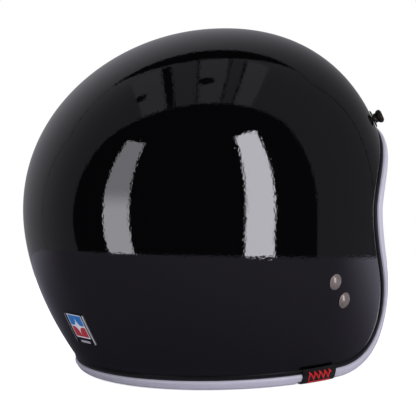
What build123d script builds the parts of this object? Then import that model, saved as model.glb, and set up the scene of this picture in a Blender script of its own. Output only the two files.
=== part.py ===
from build123d import *
from functools import cache
from math import cos, radians, sin, sqrt
import os

# Open-face motorcycle helmet, size M. All sizes in millimetres.
# While it is drawn, the middle of the widest section is at zero, the wearer faces -Y,
# the wearer's right side is at -X and up is +Z. At the end everything moves so that
# the helmet stands on z = 0 with the middle of its length and width at zero.

os.makedirs("parts", exist_ok=True)

# Outer form of the shell
shell_half_length = 134.0
shell_half_width = 118.0
dome_height = 124.0
dome_fullness = 2.09
crown_forward = 13.3
taper_depth = 118.0
nape_taper_share = 0.382
nape_taper_power = 1.8
face_taper_share = 0.096
face_taper_power = 2.0
side_taper_share = 0.209
side_taper_power = 2.3
shell_wall = 4.0

# Edge of the shell and its trim
rim_depth = 100.8
brow_height = 58.5
recess_reach = 60.0
cheek_reach = 81.5
cheek_depth = 71.0
jaw_length = 47.5
brow_reach = 140.0
brow_pull = 40.0
temple_pull = 22.0
recess_pull = 34.0
cheek_pull = 22.0
trim_height = 10.4
trim_gap = 0.15
shell_in_trim = 7.0
channel_wall = 0.8
band_wall = 0.9
band_bead = 1.9
band_start = 3.2

# Clearances and overruns
fit_gap = 0.3
pocket_gap = 0.6
overrun = 20.0
probe = 0.1
probe_turn = 0.1

# Linings
foam_wall = 22.7
foam_setback = 8.0
border_setback = 2.5
border_depth = 31.5
headband_height = 34.0
headband_middle = 17.0
headband_wall = 9.2
headband_slope_share = 0.29
crown_pad_wall = 7.2
side_pad_wall = 2.5
neck_pad_wall = 12.7
neck_pad_top = -62.0
neck_pad_front = 33.0
border_split_y = 21.0
border_split_z = -4.0
cheek_pad_length = 104.0
cheek_pad_height = 92.0
cheek_pad_crown = 24.0
cheek_pad_y = -21.0
cheek_pad_z = -50.0

# Chin strap
web_width = 25.0
web_wall = 1.8
web_corner = 1.2
strap_y = -20.5
root_top = -34.0
anchor_gauge = 1.5
anchor_height = 36.0
pivot_inset = 9.2
strap_floor_gap = 0.5
pivot_gap = 0.5
fold_x = 4.0
fold_gap = 4.4
fold_round_share = 0.98
long_end_x = -56.0
snap_from_end = 10.0
loop_x = 33.0
loop_stitch_length = 26.0
loop_slope_length = 13.0

# D-rings
ring_wire = 3.2
ring_corner = 2.6
ring_bow_corner = 12.0
ring_depth = 19.0
ring_side_gap = 0.4
ring_play = 0.1
ring_stack_gap = 0.3

# Rivets of the strap
rivet_head = 11.0
rivet_dome = 3.0
rivet_shank = 4.8
rivet_tail = 8.4
rivet_tail_height = 1.2
rivet_hole_gap = 0.1
rivet_places = ((-15.0, -41.2), (-25.5, -55.3))

# Visor snaps
snap_round_angle = 36.0
snap_middle_height = 68.0
snap_side_height = 58.0
snap_washer = 13.0
snap_washer_height = 1.1
snap_stud = 9.4
snap_stud_lip = 3.0
snap_waist = 7.4
snap_waist_height = 2.2
snap_post = 3.6
snap_eyelet = 9.0
snap_eyelet_height = 0.9

# Snap on the strap
strap_snap = 12.4
strap_snap_base = 1.0
strap_snap_knob = 5.6
strap_snap_cap = 1.6
strap_snap_post = 3.0
strap_snap_knob_height = 2.0

# Rear badge and side tab
badge_width = 21.0
badge_height = 25.5
badge_wall = 0.7
badge_corner = 1.5
badge_z = -71.6
tab_width = 33.0
tab_y = -11.5
tab_wall = 0.8

# Levels at which the form is drawn, and steps along each part of the face outline
depth_shares = (1.06, 0.86, 0.65, 0.44, 0.22)
dome_angles = (0, 12, 24, 36, 48, 58, 67, 75, 81, 85.5, 88.3)
outline_steps = 12

# Insets of the layers, from the outer form inwards
foam_outside = shell_wall + fit_gap
foam_inside = foam_outside + foam_wall
pad_outside = foam_inside + fit_gap
channel_outside = -trim_gap - channel_wall
channel_inside = shell_wall + trim_gap + channel_wall
band_outside = channel_outside - trim_gap - band_bead
band_inside = channel_inside + trim_gap + band_wall
border_outside = band_inside + fit_gap
web_outside = band_inside + fit_gap
web_inside = web_outside + web_wall
pocket_inside = web_inside + pocket_gap
tail_outside = web_inside + fit_gap
tail_inside = tail_outside + rivet_tail_height
rivet_pocket_inside = tail_inside + pocket_gap
floor_depth = rim_depth + trim_height
pivot_z = -floor_depth + strap_floor_gap + web_wall / 2
reach = shell_half_length + overrun


def plan(depth, inset):
    """Half width, half length and middle of the section at a depth below the widest one."""
    share = depth / taper_depth
    rear = shell_half_length * (1 - nape_taper_share * share**nape_taper_power) - inset
    front = shell_half_length * (1 - face_taper_share * share**face_taper_power) - inset
    half = shell_half_width * (1 - side_taper_share * share**side_taper_power) - inset
    return half, (rear + front) / 2, (rear - front) / 2


def dome_plan(rise, inset):
    """The same sizes at a height above the widest section."""
    lift = (rise / (dome_height - inset)) ** dome_fullness
    share = (1 - lift) ** (1 / dome_fullness)
    half = (shell_half_width - inset) * share
    length = (shell_half_length - inset) * share
    return half, length, -crown_forward * lift


@cache
def form(inset):
    """Solid of the helmet's outer form, drawn in by the inset or, below zero, let out."""
    sections = []
    for share in depth_shares:
        depth = share * taper_depth
        half, length, middle = plan(depth, inset)
        sections.append(Pos(0, middle, -depth) * Ellipse(half, length))
    for angle in dome_angles:
        rise = (dome_height - inset) * sin(radians(angle)) ** (2 / dome_fullness)
        half, length, middle = dome_plan(rise, inset)
        sections.append(Pos(0, middle, rise) * Ellipse(half, length))
    faces = [section.faces()[0] for section in sections]
    return loft(faces + [Vertex(0, -crown_forward, dome_height - inset)])


def layer(outside, inside):
    """Skin between two insets of the form."""
    return form(outside) - form(inside)


def side_point(y, z, inset=0.0, side=-1):
    """Point of the form's side at a place seen from the side."""
    half, length, middle = plan(-z, inset) if z < 0 else dome_plan(z, inset)
    return Vector(side * half * sqrt(1 - ((y - middle) / length) ** 2), y, z)


def round_point(angle, z, inset=0.0):
    """Point of the form at an angle round from the middle of the brow."""
    half, length, middle = plan(-z, inset) if z < 0 else dome_plan(z, inset)
    return Vector(half * sin(radians(angle)), middle - length * cos(radians(angle)), z)


def outward(angle, z):
    """Outward direction of the form at an angle round from the brow and a height."""
    beside = round_point(angle + probe_turn, z) - round_point(angle - probe_turn, z)
    above = round_point(angle, z + probe) - round_point(angle, z - probe)
    return beside.cross(above).normalized()


def side_outward(y, z, side=-1):
    """Outward direction of the form's side."""
    ahead = side_point(y - probe, z, 0.0, side) - side_point(y + probe, z, 0.0, side)
    above = side_point(y, z + probe, 0.0, side) - side_point(y, z - probe, 0.0, side)
    return (above.cross(ahead) * side).normalized()


def outline(offset):
    """Outline of the shell's front and lower edge, seen from the side, moved outwards.

    One curve runs from the brow to the recess at the temple, one on to the tip of the
    cheek, and a quarter of an ellipse turns into the straight rim.
    """
    upper = Bezier(
        (-brow_reach, brow_height),
        (-brow_reach + brow_pull, brow_height),
        (-recess_reach, temple_pull),
        (-recess_reach, 0),
    )
    lower = Bezier(
        (-recess_reach, 0),
        (-recess_reach, -recess_pull),
        (-cheek_reach, -cheek_depth + cheek_pull),
        (-cheek_reach, -cheek_depth),
    )
    moved = []
    for curve in (upper, lower):
        for i in range(outline_steps):
            along = curve % (i / outline_steps)
            moved.append(curve @ (i / outline_steps) + Vector(along.Y, -along.X) * offset)
    jaw_height = rim_depth - cheek_depth
    for i in range(outline_steps + 1):
        angle = radians(180 + 90 * i / outline_steps)
        along_jaw = jaw_length * (1 + cos(angle)) - cheek_reach
        down_jaw = jaw_height * sin(angle) - cheek_depth
        out = Vector(cos(angle) / jaw_length, sin(angle) / jaw_height).normalized()
        moved.append(Vector(along_jaw, down_jaw) + out * offset)
    return Spline(*moved)


@cache
def behind(offset):
    """Everything that lies behind and above the outline, right across the helmet."""
    edge = outline(offset)
    start = edge @ 0
    end = edge @ 1
    corners = [(end.X, end.Y), (reach, end.Y), (reach, reach), (start.X, reach), (start.X, start.Y)]
    area = make_face([edge, Polyline(*corners)])
    return extrude(Plane.YZ * area, amount=reach, both=True)


def above_line(height):
    """Everything above the headband's slanting line at a height in the middle."""
    rise = headband_slope_share * reach
    corners = [(-reach, height + rise), (reach, height - rise), (reach, 2 * reach), (-reach, 2 * reach)]
    return extrude(Plane.YZ * make_face(Polyline(*corners, close=True)), amount=reach, both=True)


def block(x_range, y_range, z_range):
    """Box between the given limits."""
    low = Vector(x_range[0], y_range[0], z_range[0])
    high = Vector(x_range[1], y_range[1], z_range[1])
    size = high - low
    middle = (low + high) * 0.5
    return Pos(middle.X, middle.Y, middle.Z) * Box(size.X, size.Y, size.Z)


def half_space_x(side):
    """Range of X on one side."""
    return (-reach, 0) if side < 0 else (0, reach)


def disc(radius, start, end):
    """Round disc along Z between two heights."""
    return Pos(0, 0, (start + end) / 2) * Cylinder(radius, end - start)


def dome(diameter, height):
    """Shallow dome that stands on z = 0."""
    radius = ((diameter / 2) ** 2 + height**2) / (2 * height)
    ball = Pos(0, 0, height - radius) * Sphere(radius)
    return ball & disc(diameter / 2, 0, height)


def at(point, direction):
    """Place with its Z along a direction."""
    return Plane(origin=point, z_dir=direction).location


parts = {}

# Hard shell, with holes for the rivets and for the posts of the snaps
snaps = [
    (0, snap_middle_height),
    (-snap_round_angle, snap_side_height),
    (snap_round_angle, snap_side_height),
]
snap_places = [at(round_point(angle, z), outward(angle, z)) for angle, z in snaps]
rivet_sides = {"right": -1, "left": 1}


def rivet_locations(side):
    """Places of the two rivets on one side."""
    return [at(side_point(y, z, 0.0, side), side_outward(y, z, side)) for y, z in rivet_places]


shell = layer(0, shell_wall) & behind(shell_in_trim)
for side in rivet_sides.values():
    for place in rivet_locations(side):
        shell -= place * disc(rivet_shank / 2 + rivet_hole_gap, -shell_wall * 2, shell_wall)
for place in snap_places:
    shell -= place * disc(snap_post / 2 + rivet_hole_gap, -shell_wall * 2, shell_wall)
parts["outer_shell"] = shell

# Edge trim: a rubber channel that grips the shell, and the silver band round it
channel_end = shell_in_trim + trim_gap + channel_wall
channel = layer(channel_outside, channel_inside) & behind(channel_end) - behind(0)
channel -= layer(-trim_gap, shell_wall + trim_gap) & behind(shell_in_trim + trim_gap)
parts["edge_channel"] = channel

band = layer(band_outside, band_inside) & behind(trim_height) - behind(band_start)
band -= layer(channel_outside - trim_gap, channel_inside + trim_gap) & behind(channel_end + trim_gap)
tab_front = tab_y - tab_width / 2
tab_back = tab_y + tab_width / 2
tab_room = block(half_space_x(-1), (tab_front - trim_gap, tab_back + trim_gap), (-reach, -recess_reach))
band -= tab_room - behind(trim_height - tab_wall - trim_gap)
parts["edge_band"] = band

# Woven tab, folded round the trim on the right side
tab_reach = block(half_space_x(-1), (tab_front, tab_back), (-reach, -recess_reach))
tab_outside = band_outside - trim_gap - tab_wall
tab = layer(tab_outside, band_inside) & behind(trim_height) - behind(0)
tab -= layer(tab_outside + tab_wall, shell_half_width / 2) & behind(trim_height - tab_wall)
step_outside = tab_outside + tab_wall - trim_gap
tab += layer(step_outside, channel_outside - trim_gap) & behind(band_start - trim_gap) - behind(0)
parts["side_tab"] = tab & tab_reach

# Foam liner: a ring with pockets for the strap's roots, the rivets and the eyelets of the
# snaps, and a crown insert of softer foam above it
foam = layer(foam_outside, foam_inside) & behind(-foam_setback)
root_range = (strap_y - web_width / 2, strap_y + web_width / 2)
root_room = (root_range[0] - pocket_gap, root_range[1] + pocket_gap)
root_pocket = layer(shell_wall, pocket_inside) & (
    block((-reach, reach), root_room, (-reach, root_top + anchor_gauge))
)
foam -= root_pocket
rivet_room_z = (rivet_places[1][1] - rivet_head, root_top + anchor_gauge)
foam -= layer(shell_wall, rivet_pocket_inside) & block((-reach, reach), root_room, rivet_room_z)
for place in snap_places:
    foam -= place * disc(snap_eyelet / 2 + pocket_gap, -shell_wall * 2, 0)
head_low = headband_middle
head_high = headband_middle + headband_height
parts["foam_liner"] = foam - above_line(head_high)
parts["foam_crown"] = foam & above_line(head_high + fit_gap)

# Crown pad, headband and the thin lining below it
lined = behind(-foam_setback)
headband = layer(pad_outside, pad_outside + headband_wall) & lined
headband = headband & above_line(head_low) - above_line(head_high)
parts["headband"] = headband
parts["crown_pad"] = layer(pad_outside, pad_outside + crown_pad_wall) & above_line(head_high + fit_gap)


def cheek_form(side, gap=0.0):
    """Crowned oval of a cheek pad, grown by a gap."""
    half_height = cheek_pad_height / 2 + gap
    half_length = cheek_pad_length / 2 + gap
    shares = ((cheek_pad_crown + gap) / half_height, half_length / half_height, 1)
    oval = scale(Sphere(half_height), by=shares)
    base = side_point(cheek_pad_y, cheek_pad_z, foam_inside, side)
    return Pos(base.X, cheek_pad_y, cheek_pad_z) * oval


lining = layer(pad_outside, pad_outside + side_pad_wall) & lined
lining -= above_line(head_low - fit_gap)
for side in rivet_sides.values():
    lining -= cheek_form(side, fit_gap)
lining -= block((-reach, reach), (neck_pad_front - fit_gap, reach), (-reach, neck_pad_top + fit_gap))
parts["side_lining"] = lining

# Padded border between the shell's edge and the linings, in four lengths
border = behind(-border_setback) - behind(-foam_setback + fit_gap)
face_area = block((-reach, reach), (-reach, reach), (border_split_z + fit_gap, reach))
parts["face_roll"] = layer(border_outside, pad_outside + headband_wall) & border & face_area

cheek_area_y = (-reach, border_split_y - fit_gap)
cheek_area_z = (-reach, border_split_z)
for name, side in rivet_sides.items():
    area = block(half_space_x(side), cheek_area_y, cheek_area_z)
    edge_part = layer(web_inside + pocket_gap, border_depth) & border & area
    crown_part = cheek_form(side) & form(pad_outside) & behind(-border_setback)
    parts["cheek_pad_" + name] = edge_part + crown_part

nape_area = block((-reach, reach), (border_split_y, reach), (-reach, reach))
nape_edge = layer(border_outside, border_depth) & border & nape_area
nape_pad = layer(pad_outside, pad_outside + neck_pad_wall) & behind(-border_setback)
nape_pad = nape_pad & block((-reach, reach), (neck_pad_front, reach), (-reach, neck_pad_top))
parts["neck_roll"] = nape_edge + nape_pad

# Strap anchors: plate, webbing root and rivets, on each side
anchor_range = (root_range[0] + web_corner, root_range[1] - web_corner)
anchor_z = (root_top - anchor_height, root_top - web_corner)
root_end = pivot_z + web_wall / 2 + pivot_gap
for name, side in rivet_sides.items():
    across = half_space_x(side)
    shanks = rivet_locations(side)
    plate = layer(foam_outside, foam_outside + anchor_gauge) & block(across, anchor_range, anchor_z)
    root = layer(web_outside, web_inside) & block(across, root_range, (root_end, root_top))
    rivets = []
    for place in shanks:
        hole = place * disc(rivet_shank / 2 + rivet_hole_gap, -tail_inside, 0)
        plate -= hole
        root -= hole
        shank = disc(rivet_shank / 2, -tail_inside, trim_gap + rivet_hole_gap)
        tail = disc(rivet_tail / 2, -tail_inside, -tail_outside)
        rivets.append(place * (Pos(0, 0, trim_gap) * dome(rivet_head, rivet_dome) + shank + tail))
    parts["strap_anchor_" + name] = plate
    parts["strap_root_" + name] = root
    parts["strap_rivets_" + name] = Compound(children=rivets)

# Straps: each turns about the fold where the webbing leaves its root
pivot_x = side_point(strap_y, pivot_z, pivot_inset, 1).X


def webbing(path):
    """Webbing of the strap's width along a path seen from the front."""
    return Pos(0, strap_y, 0) * extrude(Plane.XZ * trace(path, web_wall), amount=web_width / 2, both=True)


def fold_end(x):
    """Rounded end of the webbing at its turning line."""
    roll = Rot(90, 0, 0) * Cylinder(web_wall / 2, web_width)
    return Pos(x, strap_y, pivot_z) * roll


# Long strap on the right: inwards along the table, folded back, its end snapped down
fold_top = pivot_z + fold_gap + web_wall
long_path = FilletPolyline(
    (-pivot_x, pivot_z),
    (fold_x, pivot_z),
    (fold_x, fold_top),
    (long_end_x, fold_top),
    radius=(fold_gap + web_wall) / 2 * fold_round_share,
)
snap_x = long_end_x + snap_from_end
low_face = pivot_z + web_wall / 2 + ring_play
high_face = fold_top - web_wall / 2 - ring_play
cap_face = fold_top + web_wall / 2 + ring_play
snap_spot = Pos(snap_x, strap_y, 0)
knob_top = low_face + strap_snap_base + strap_snap_knob_height
long_strap = webbing(long_path) + fold_end(-pivot_x)
snap_hole = disc(strap_snap_post / 2 + rivet_hole_gap, high_face - web_wall, cap_face + web_wall)
long_strap -= snap_spot * snap_hole
parts["chin_strap_long"] = long_strap
knob = disc(strap_snap / 2, low_face, low_face + strap_snap_base)
knob += disc(strap_snap_knob / 2, low_face, knob_top)
parts["strap_snap_stud"] = snap_spot * knob
socket = disc(strap_snap / 2, low_face + strap_snap_base + ring_play, high_face)
socket -= disc(strap_snap_knob / 2 + ring_play, low_face, knob_top + ring_play)
socket += disc(strap_snap_post / 2, knob_top + 2 * ring_play, cap_face + ring_play)
socket += Pos(0, 0, cap_face) * dome(strap_snap, strap_snap_cap)
parts["strap_snap_socket"] = snap_spot * socket

# Short strap on the left: its end is sewn back into a loop that holds the two rings
bar_room = ring_wire / 2 + ring_play
loop_round = bar_room + web_wall / 2
low_bar_z = pivot_z + loop_round
high_bar_z = low_bar_z + ring_wire + ring_stack_gap
loop_top = high_bar_z + loop_round
stitch_z = pivot_z + web_wall + ring_play
slope_start = loop_x + loop_round
slope_end = slope_start + loop_slope_length
short_path = FilletPolyline(
    (pivot_x, pivot_z),
    (loop_x - loop_round, pivot_z),
    (loop_x - loop_round, loop_top),
    (slope_start, loop_top),
    (slope_end, stitch_z),
    (slope_end + loop_stitch_length, stitch_z),
    radius=loop_round,
)
seam = block(
    (slope_end + loop_round, slope_end + loop_stitch_length),
    root_range,
    (pivot_z, stitch_z),
)
parts["chin_strap_short"] = webbing(short_path) + fold_end(pivot_x) + seam


def ring(bar_z):
    """Round wire ring with a straight bar in the loop and a rounded bow."""
    half = web_width / 2 + ring_side_gap + ring_corner
    path = FilletPolyline(
        (loop_x, strap_y - half),
        (loop_x, strap_y + half),
        (loop_x - ring_depth, strap_y + half),
        (loop_x - ring_depth, strap_y - half),
        radius=[ring_corner, ring_corner, ring_bow_corner, ring_bow_corner],
        close=True,
    )
    start = Plane(origin=path @ 0, z_dir=path % 0)
    return Pos(0, 0, bar_z) * sweep(start * Circle(ring_wire / 2), path=path)


parts["d_ring_lower"] = ring(low_bar_z)
parts["d_ring_upper"] = ring(high_bar_z)

# Visor snaps on the brow: dished washer, waisted stud with its post, eyelet inside
washers = []
studs = []
eyelets = []
stud_foot = trim_gap + snap_washer_height + ring_play
post_end = -(shell_wall + fit_gap + snap_eyelet_height)
for place in snap_places:
    washer = Pos(0, 0, trim_gap + snap_washer_height / 2) * Cone(
        snap_washer / 2, snap_stud / 2, snap_washer_height
    )
    washers.append(place * (washer - disc(snap_post / 2 + rivet_hole_gap, -shell_wall, shell_wall)))
    waist_top = stud_foot + snap_waist_height
    stud = disc(snap_post / 2, post_end, stud_foot + ring_play)
    stud += disc(snap_waist / 2, stud_foot, waist_top)
    stud += disc(snap_stud / 2, waist_top, waist_top + snap_stud_lip)
    stud += Pos(0, 0, waist_top + snap_stud_lip) * dome(snap_waist, snap_waist_height / 2)
    studs.append(place * stud)
    eyelet = disc(snap_eyelet / 2, post_end, -(shell_wall + fit_gap))
    eyelets.append(place * (eyelet - disc(snap_post / 2 + rivet_hole_gap, -2 * shell_wall, 0)))
parts["snap_washers"] = Compound(children=washers)
parts["snap_studs"] = Compound(children=studs)
parts["snap_eyelets"] = Compound(children=eyelets)

# Plain metal plate on the nape
badge_plane = Plane(origin=round_point(180, badge_z), x_dir=(-1, 0, 0), z_dir=outward(180, badge_z))
badge_face = badge_plane * RectangleRounded(badge_width, badge_height, badge_corner)
badge_area = extrude(badge_face, amount=badge_height / 2, both=True)
parts["rear_badge"] = layer(-trim_gap - badge_wall, -trim_gap) & badge_area

# Stand the helmet on z = 0 and centre it on its length
boxes = [part.bounding_box() for part in parts.values()]
front_y = min(box.min.Y for box in boxes)
rear_y = max(box.max.Y for box in boxes)
stand = Pos(0, -(front_y + rear_y) / 2, floor_depth)
for name, part in parts.items():
    export_step(stand * part, "parts/" + name + ".step")

print("moved by", stand.position)
for name, x, z in (
    ("strap pivot", pivot_x, pivot_z),
    ("lower bar", loop_x, low_bar_z),
    ("upper bar", loop_x, high_bar_z),
):
    print(name, (stand * Pos(x, strap_y, z)).position)
stud_middle = stud_foot + snap_waist_height + snap_stud_lip / 2
for place in snap_places:
    print("snap stud", (stand * place * Pos(0, 0, stud_middle)).position, Plane(place).z_dir)
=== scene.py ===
import bpy
import numpy as np
from mathutils import Matrix, Vector


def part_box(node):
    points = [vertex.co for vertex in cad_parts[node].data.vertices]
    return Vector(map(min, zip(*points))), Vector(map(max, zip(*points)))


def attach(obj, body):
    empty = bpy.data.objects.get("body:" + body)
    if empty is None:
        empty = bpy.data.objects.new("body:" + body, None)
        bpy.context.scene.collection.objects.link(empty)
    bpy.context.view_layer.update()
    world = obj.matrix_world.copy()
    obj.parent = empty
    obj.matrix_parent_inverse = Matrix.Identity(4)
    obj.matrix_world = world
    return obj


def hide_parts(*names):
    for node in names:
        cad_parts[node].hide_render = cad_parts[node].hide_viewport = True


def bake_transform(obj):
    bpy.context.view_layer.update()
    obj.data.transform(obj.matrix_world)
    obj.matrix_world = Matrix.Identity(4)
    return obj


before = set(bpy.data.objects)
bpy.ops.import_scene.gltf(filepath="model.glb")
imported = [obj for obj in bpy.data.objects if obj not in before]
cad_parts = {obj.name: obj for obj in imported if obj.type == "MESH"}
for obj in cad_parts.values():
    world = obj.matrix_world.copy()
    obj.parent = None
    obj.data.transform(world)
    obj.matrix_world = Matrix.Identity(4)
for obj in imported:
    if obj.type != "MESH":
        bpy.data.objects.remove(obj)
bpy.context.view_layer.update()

# Hard shell: glass-fibre laminate, moulded in one piece, sanded and sprayed with black
# lacquer under a clear coat. Its form is one formula, which the trim and the linings follow
# at their own depths. Lengths are in metres, and mm turns millimetres into them.
mm = 0.001
shell_middle = np.array([0.0, -0.001956, 0.1112])
shell_half_length, shell_half_width, shell_dome = 134 * mm, 118 * mm, 124 * mm
shell_wall = 4 * mm
shell_in_trim = 7 * mm
crown_forward = 13.3 * mm
taper_depth = 118 * mm
fullness = 2.09
rear_taper, rear_bend = 0.382, 1.8
front_taper, front_bend = 0.096, 2
side_taper, side_bend = 0.209, 2.3
lacquer_colour = "#040405"
# The shell's edge seen from the side, in millimetres back and up from the middle
brow_corners = [(-140, 58.5), (-100, 58.5), (-60, 22), (-60, 0)]
cheek_corners = [(-60, 0), (-60, -34), (-81.5, -49), (-81.5, -71)]
jaw_back, jaw_up, jaw_length, jaw_height, rim_back = -34, -71, 47.5, 29.8, 106


def level_cut(height, inset=0.0):
    """The form's cut at a height over its middle: how far it is closed, its half width and
    half length, and where its middle lies. Below the widest level the half sizes shrink
    with powers of the depth, and above it they close as a superellipse."""
    depth = np.maximum(-height, 0) / taper_depth
    lift = (np.maximum(height, 0) / (shell_dome - inset)) ** fullness
    rear = shell_half_length * (1 - rear_taper * depth**rear_bend) - inset
    front = shell_half_length * (1 - front_taper * depth**front_bend) - inset
    half = shell_half_width * (1 - side_taper * depth**side_bend) - inset
    return lift, half, (rear + front) / 2, (rear - front) / 2 - crown_forward * lift


def form_value(point, inset):
    """Above zero outside the form: the level cut's ellipse, raised to the form's fullness."""
    x, y, z = np.moveaxis(point - shell_middle, -1, 0)
    lift, half, length, middle = level_cut(z, inset)
    return np.hypot(x / half, (y - middle) / length) ** fullness + lift - 1


def side_x(y, z, inset=0.0):
    """Half width of the form at places seen from the side: the level cut's half width times
    the root of what the height and the length leave."""
    lift, half, length, middle = level_cut(z, inset)
    left = (1 - lift) ** (2 / fullness) - ((y - middle) / length) ** 2
    return half * np.sqrt(np.maximum(left, 0))


def on_form(direction, inset=0.0):
    """Points where rays from the middle meet the form, found by halving each ray's range."""
    near = np.zeros(direction.shape[:-1])
    far = near + 0.3
    for _ in range(40):
        half = (near + far) / 2
        beyond = form_value(shell_middle + direction * half[..., None], inset) > 0
        near, far = np.where(beyond, near, half), np.where(beyond, half, far)
    return shell_middle + direction * far[..., None]


def form_normal(point, inset=0.0):
    """Outward unit normal of the form, from differences a tenth of a millimetre each way."""
    ways = np.eye(3) * 0.1 * mm
    slope = [form_value(point + way, inset) - form_value(point - way, inset) for way in ways]
    return unit(np.stack(slope, -1))


def unit(vector):
    """Vectors of length one."""
    return vector / np.linalg.norm(vector, axis=-1, keepdims=True)


def bezier(corners, share):
    """Points of a cubic Bezier curve, the corners weighted by the cubic Bernstein terms."""
    rest = 1 - share
    weights = np.stack([rest**3, 3 * rest**2 * share, 3 * rest * share**2, share**3], -1)
    return weights @ np.array(corners)


def rim_loop(count):
    """Evenly spaced points of the shell's edge line, with the way from the shell to the
    opening. Seen from the side the line is two Bezier curves, a quarter of an ellipse and
    a straight run; each of its points is moved sideways until it lies on the form."""
    share = np.linspace(0, 1, 4000)
    brow = bezier(brow_corners, share) * mm
    cheek = bezier(cheek_corners, share[1:]) * mm
    turn = np.pi + share[1:] * np.pi / 2
    jaw = np.stack([jaw_length * np.cos(turn) + jaw_back, jaw_height * np.sin(turn) + jaw_up], -1)
    back = jaw_back + (rim_back - jaw_back) * share[1:]
    straight = np.stack([back, np.full_like(back, jaw_up - jaw_height)], -1)
    line = np.vstack([brow, cheek, jaw * mm, straight * mm])
    along = unit(np.gradient(line, axis=0))
    side = side_x(line[:, 0], line[:, 1])
    kept = side > 0
    side = side[kept]
    side[[0, -1]] = 0
    right_side = np.column_stack([-side, line[kept]])
    way = np.column_stack([0 * side, along[kept, 1], -along[kept, 0]])
    mirror = np.array([-1, 1, 1])
    loop = np.vstack([right_side, right_side[-2::-1] * mirror])
    ways = np.vstack([way, way[-2::-1]])
    run = np.concatenate([[0], np.cumsum(np.linalg.norm(np.diff(loop, axis=0), axis=1))])
    stops = np.arange(count) * run[-1] / count
    points = np.stack([np.interp(stops, run, loop[:, k]) for k in range(3)], -1)
    ways = unit(np.stack([np.interp(stops, run, ways[:, k]) for k in range(3)], -1))
    return points + shell_middle, ways, stops


rim, rim_way, rim_run = rim_loop(480)
rim_normal = form_normal(rim)
rim_along = unit(np.roll(rim, -1, 0) - np.roll(rim, 1, 0))
rim_out = unit(np.cross(rim_normal, rim_along))
rim_out = rim_out / np.sum(rim_out * rim_way, -1, keepdims=True)
rim_lean = np.sum(rim_normal * rim_way, -1, keepdims=True)
rim_in = -(rim_normal - rim_lean * rim_way) / (1 - rim_lean**2)


def beside_rim(out, inset, where=slice(None)):
    """Points at distances from the edge line towards the opening and at depths under the
    form: the line, plus the outward way times one, plus the inward way times the other."""
    line, away, deep = rim[where, None], rim_out[where, None], rim_in[where, None]
    return line + away * np.asarray(out)[..., None] + deep * np.asarray(inset)[..., None]


def linear(colour):
    """An sRGB hex colour as linear red, green, blue and alpha."""
    parts = np.array([int(colour[i : i + 2], 16) for i in (1, 3, 5)]) / 255
    light = np.where(parts > 0.04045, ((parts + 0.055) / 1.055) ** 2.4, parts / 12.92)
    return (*light.tolist(), 1.0)


def add(tree, kind, inputs=(), out=0, **settings):
    """Adds one node with its settings and gives one of its outputs. Its inputs come in
    order or by name, each as a value or as the output that feeds it."""
    made = tree.nodes.new("ShaderNode" + kind)
    for name, value in settings.items():
        setattr(made, name, value)
    for name, value in inputs.items() if isinstance(inputs, dict) else enumerate(inputs):
        if isinstance(value, bpy.types.NodeSocket):
            tree.links.new(value, made.inputs[name])
        else:
            made.inputs[name].default_value = value
    return made.outputs[out] if made.outputs else None


def finish(name, values, links):
    """A material with one Principled shader; links is a function that gives what feeds it."""
    made = bpy.data.materials.new(name)
    made.use_nodes = True
    tree = made.node_tree
    tree.nodes.clear()
    shader = add(tree, "BsdfPrincipled", values | links(tree))
    add(tree, "OutputMaterial", {"Surface": shader})
    return made


def surface(name, points, material, closed=(False, True), poles=True, u=None, v=None, sharp=50):
    """A mesh over points[row, column], or over several such grids. closed joins the last
    row or column to the first, and poles closes both ends of the rows with a point in
    their middle. u per row and v per column give the map, in metres."""
    grids = points.reshape(-1, *points.shape[-3:])
    rows, columns = grids.shape[1:3]
    down, across = np.meshgrid(
        np.arange(rows - (not closed[0])), np.arange(columns - (not closed[1])), indexing="ij"
    )
    down, across = down.ravel(), across.ravel()
    corners_down = np.stack([down, down + 1, down + 1, down], -1)
    corners_across = np.stack([across, across, across + 1, across + 1], -1)
    quads = (corners_down % rows) * columns + corners_across % columns
    faces = quads.tolist()
    maps = np.stack([corners_down, corners_across], -1).tolist()
    vertices = [grids.reshape(len(grids), -1, 3)]
    if poles:
        ring = np.arange(columns - (not closed[1]))
        ring_next = (ring + 1) % columns
        first, last = rows * columns, rows * columns + 1
        vertices += [grids[:, 0].mean(1)[:, None], grids[:, -1].mean(1)[:, None]]
        end = (rows - 1) * columns
        faces += np.stack([np.full_like(ring, first), ring, ring_next], -1).tolist()
        faces += np.stack([np.full_like(ring, last), end + ring_next, end + ring], -1).tolist()
        maps += [[[0, c], [0, c], [0, c + 1]] for c in ring.tolist()]
        maps += [[[rows - 1, c], [rows - 1, c + 1], [rows - 1, c]] for c in ring.tolist()]
    vertices = np.concatenate(vertices, 1)
    count = vertices.shape[1]
    flat = vertices.reshape(-1, 3)
    fans = np.array([[f[0], f[k], f[k + 1]] for f in faces for k in range(1, len(f) - 1)])
    a, b, c = (vertices[0][fans[:, k]] for k in range(3))
    if np.sum(a * np.cross(b, c)) < 0:
        faces = [f[::-1] for f in faces]
        maps = [m[::-1] for m in maps]
    every = [[i + k * count for i in f] for k in range(len(grids)) for f in faces]
    mesh = bpy.data.meshes.new(name)
    mesh.from_pydata(flat.tolist(), [], every)
    if u is not None:
        u, v = np.asarray(u), np.asarray(v)
        spots = np.array([spot for m in maps for spot in m] * len(grids))
        u_at = np.append(u, u[-1] + u[-1] - u[-2])[spots[:, 0]]
        v_at = np.append(v, v[-1] + v[-1] - v[-2])[spots[:, 1]]
        mesh.uv_layers.new(name="UVMap").data.foreach_set("uv", np.stack([u_at, v_at], -1).ravel())
    mesh.shade_smooth()
    mesh.set_sharp_from_angle(angle=np.radians(sharp))
    mesh.materials.append(material)
    made = bpy.data.objects.new(name, mesh)
    bpy.context.scene.collection.objects.link(made)
    return made


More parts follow.
